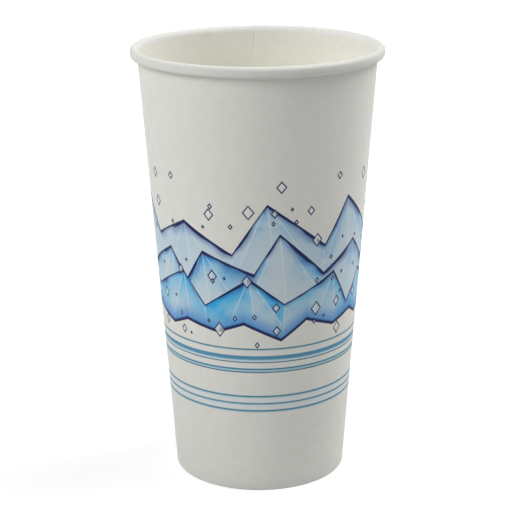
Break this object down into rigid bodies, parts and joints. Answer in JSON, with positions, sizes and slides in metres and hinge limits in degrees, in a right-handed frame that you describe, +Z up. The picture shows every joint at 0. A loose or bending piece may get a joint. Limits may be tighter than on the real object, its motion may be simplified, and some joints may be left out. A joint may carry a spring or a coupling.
{
  "type": "paper cold cup",
  "caption": "Tall tapered paper cold cup with a rolled rim, lapped side seam and recessed floor held in a folded hem.",
  "frame": {"origin": "on the cup's axis, in the plane that the foot stands on", "axes": "+Z up along the cup's axis to the mouth; the side seam is at the back, on +Y; -Y is the front"},
  "size_m": [0.09, 0.09, 0.1573],
  "materials": {
    "wall_board": "matte",
    "base_board": "matte"
  },
  "bodies": {
    "root": {"side_wall": "wall_board", "base_disc": "base_board"}
  },
  "joints": []
}
